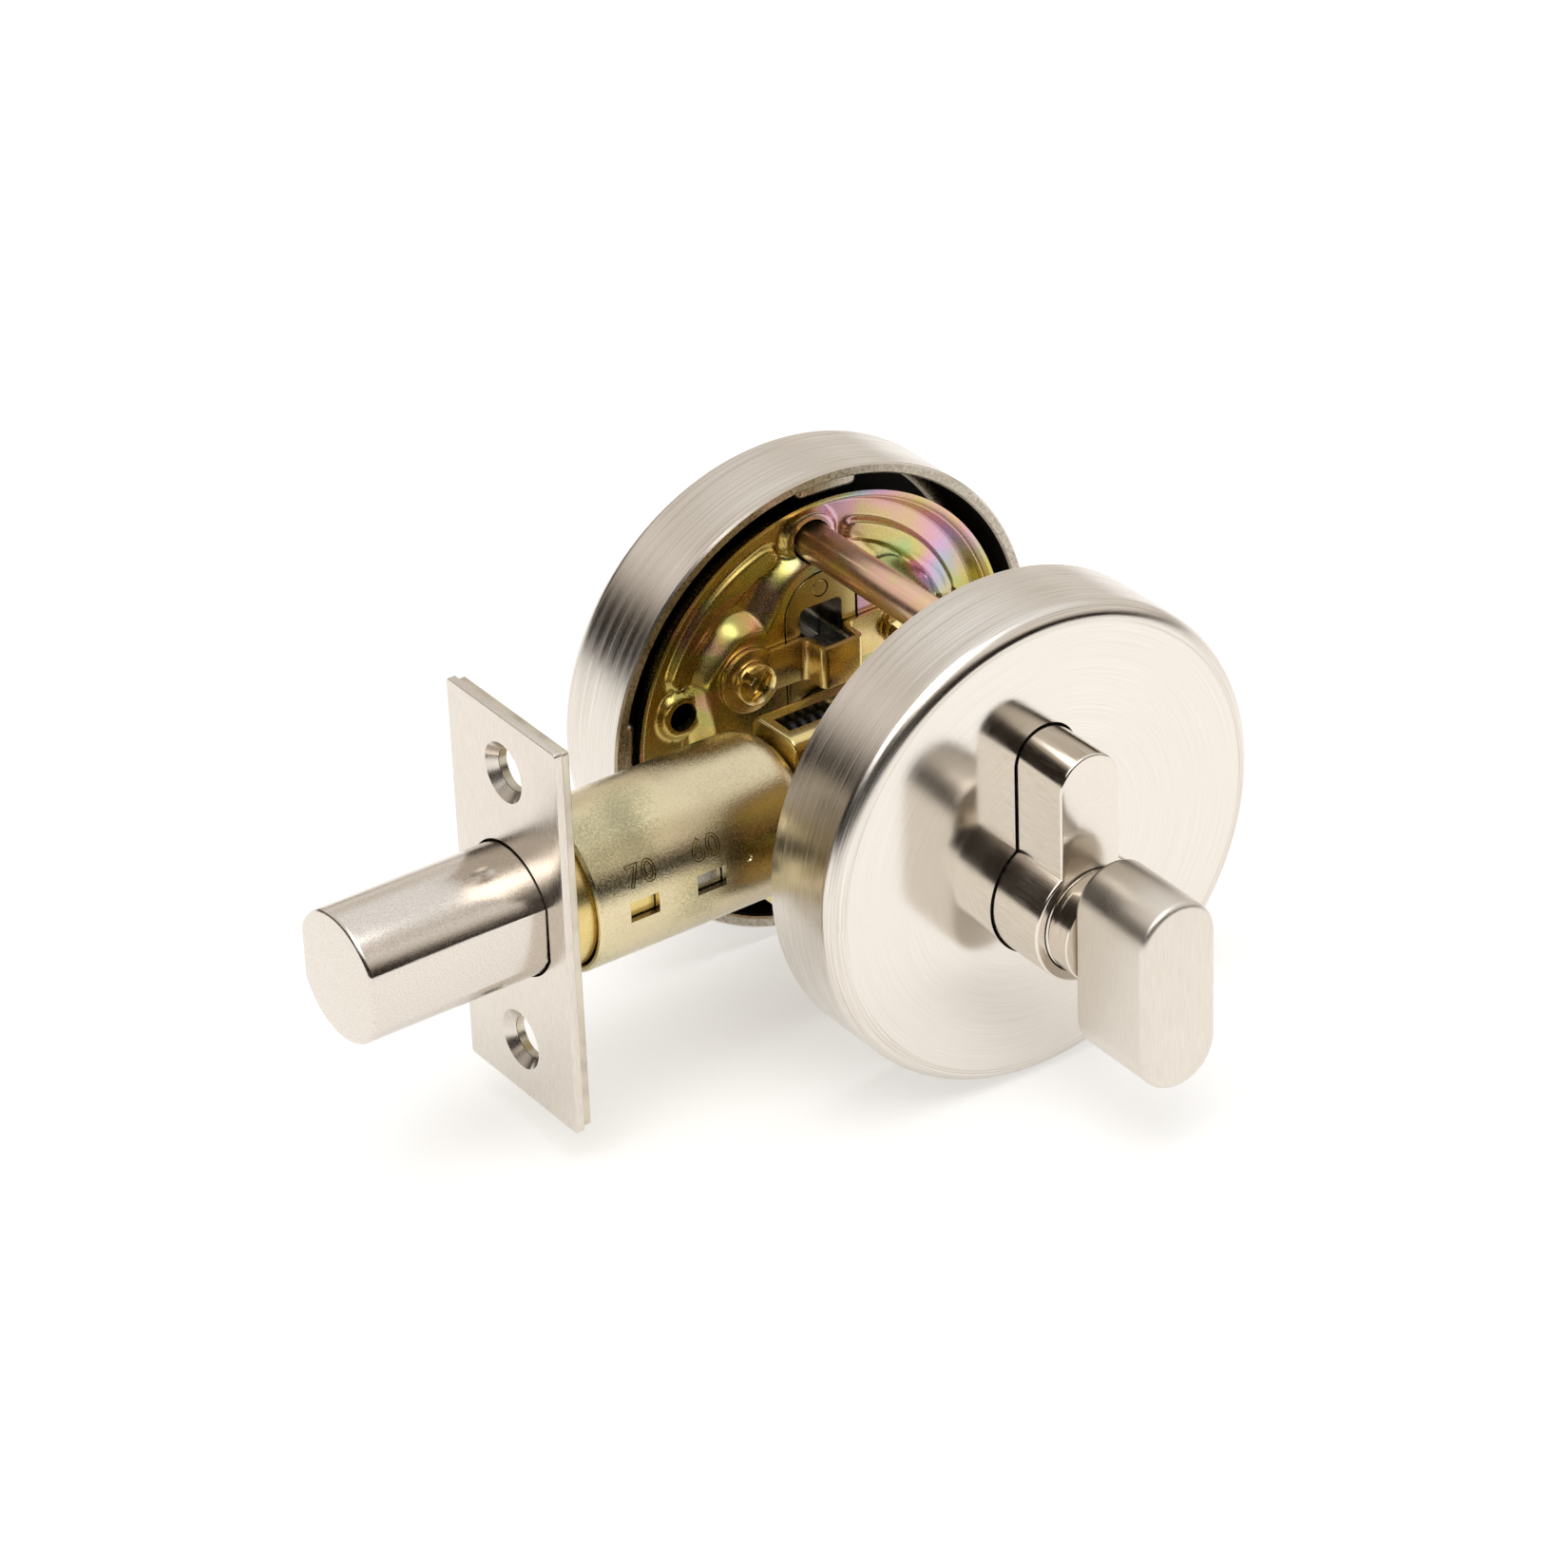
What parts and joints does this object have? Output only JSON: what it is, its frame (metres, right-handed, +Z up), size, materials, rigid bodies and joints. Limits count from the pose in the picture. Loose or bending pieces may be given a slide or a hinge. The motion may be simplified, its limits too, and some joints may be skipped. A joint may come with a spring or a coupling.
{
  "type": "deadbolt door lock",
  "caption": "Tubular deadbolt with round bolt, adjustable backset, two round roses, an outer key cylinder and an inner thumbturn on a rack and pinion.",
  "frame": {"origin": "on the spindle axis, in the middle plane of a 34 mm door", "axes": "the bolt points along -X, the thumbturn side faces -Y, the key side faces +Y, Z is up"},
  "size_m": [0.1185, 0.0956, 0.066],
  "materials": {
    "satin_nickel": "brushed satin nickel plate",
    "bolt_nickel": "nickel plated turned steel",
    "yellow_zinc": "yellow chromate zinc plate on pressed steel",
    "brass": "milled brass",
    "steel": "plain steel",
    "black_oxide": "black oxide steel"
  },
  "bodies": {
    "root": {"barrel": "yellow_zinc", "actuator_case": "yellow_zinc", "case_rivet_inside": "steel", "case_rivet_outside": "steel", "detent_spring": "black_oxide", "locking_lever": "steel", "lever_pin": "steel", "outer_cylinder": "brass", "outer_dowel": "brass", "inner_cylinder": "satin_nickel", "inner_dowel": "brass", "outer_rose": "satin_nickel", "outer_plate": "yellow_zinc", "outer_bridge": "steel", "outer_strap": "yellow_zinc", "outer_strap_screw_a": "yellow_zinc", "outer_strap_screw_b": "yellow_zinc", "inner_rose": "satin_nickel", "inner_plate": "yellow_zinc", "inner_bridge": "steel", "inner_strap": "yellow_zinc", "inner_strap_screw_a": "yellow_zinc", "inner_strap_screw_b": "yellow_zinc", "driver_pin_1": "brass", "driver_pin_2": "brass", "driver_pin_3": "brass", "driver_pin_4": "brass", "driver_pin_5": "brass", "pin_spring_1": "steel", "pin_spring_2": "steel", "pin_spring_3": "steel", "pin_spring_4": "steel", "pin_spring_5": "steel", "mounting_post_upper": "yellow_zinc", "mounting_post_lower": "yellow_zinc", "mounting_screw_upper": "yellow_zinc", "mounting_screw_lower": "yellow_zinc"},
    "front_unit": {"faceplate": "satin_nickel", "faceplate_backing": "yellow_zinc", "inner_sleeve": "yellow_zinc", "backset_tab": "steel"},
    "bolt_unit": {"bolt": "bolt_nickel", "saw_pin_inside": "steel", "saw_pin_outside": "steel", "rack_pin": "steel"},
    "rack_unit": {"bolt_rack": "steel"},
    "thumbturn": {"thumbturn_knob": "satin_nickel", "knob_set_screw": "steel", "thumbturn_spindle": "satin_nickel", "thumbturn_clip": "steel", "tailpiece": "steel", "pinion": "black_oxide"},
    "key_unit": {"key_plug": "brass", "key_plug_clip": "steel", "key_pin_1": "brass", "key_pin_2": "brass", "key_pin_3": "brass", "key_pin_4": "brass", "key_pin_5": "brass"}
  },
  "joints": [
    {"name": "thumbturn_turn", "type": "hinge", "parent": "root", "child": "thumbturn", "pos_m": [0, 0, 0], "axis": [0, 1, 0], "range_deg": [0, 180]},
    {"name": "rack_slide", "type": "slide", "parent": "root", "child": "rack_unit", "axis": [1, 0, 0], "range_m": [0, 0.0255]},
    {"name": "backset_slide", "type": "slide", "parent": "root", "child": "front_unit", "axis": [-1, 0, 0], "range_m": [0, 0.01]},
    {"name": "bolt_slide", "type": "slide", "parent": "front_unit", "child": "bolt_unit", "axis": [1, 0, 0], "range_m": [0, 0.0255]},
    {"name": "key_turn", "type": "hinge", "parent": "root", "child": "key_unit", "pos_m": [0, 0, 0], "axis": [0, 1, 0], "range_deg": [0, 180]}
  ],
  "couplings": [
    {"joint": "rack_slide", "follows": "thumbturn_turn", "m_per_rad": 0.0081169},
    {"joint": "bolt_slide", "follows": "thumbturn_turn", "m_per_rad": 0.0081169},
    {"joint": "key_turn", "follows": "thumbturn_turn", "ratio": 1}
  ]
}
